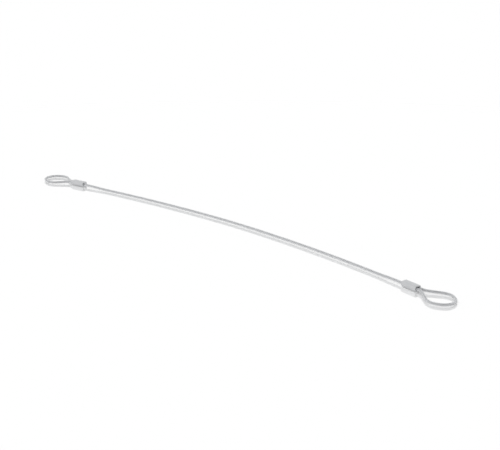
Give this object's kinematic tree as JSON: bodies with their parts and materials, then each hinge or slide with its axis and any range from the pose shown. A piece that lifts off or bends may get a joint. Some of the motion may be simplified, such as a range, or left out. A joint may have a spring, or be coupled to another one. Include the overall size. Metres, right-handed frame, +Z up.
{
  "type": "wire rope lanyard",
  "caption": "Short length of steel wire rope with a soft eye at each end, each closed by a pressed flat-oval aluminium sleeve; a safety cable laid out in a shallow bow.",
  "frame": {"origin": "below the middle of the bounding box, on the plane that the two sleeves lie on", "axes": "+X along the lanyard from the left eye to the right eye, +Y the side that the bow bulges to, +Z up from the surface it lies on"},
  "size_m": [0.6052, 0.0445, 0.006],
  "materials": {
    "wire_rope": "bright galvanised wire",
    "sleeve": "satin, as pressed"
  },
  "bodies": {
    "root": {"rope_span": "wire_rope", "left_eye": "wire_rope", "right_eye": "wire_rope", "left_ferrule": "sleeve", "right_ferrule": "sleeve"}
  },
  "joints": []
}
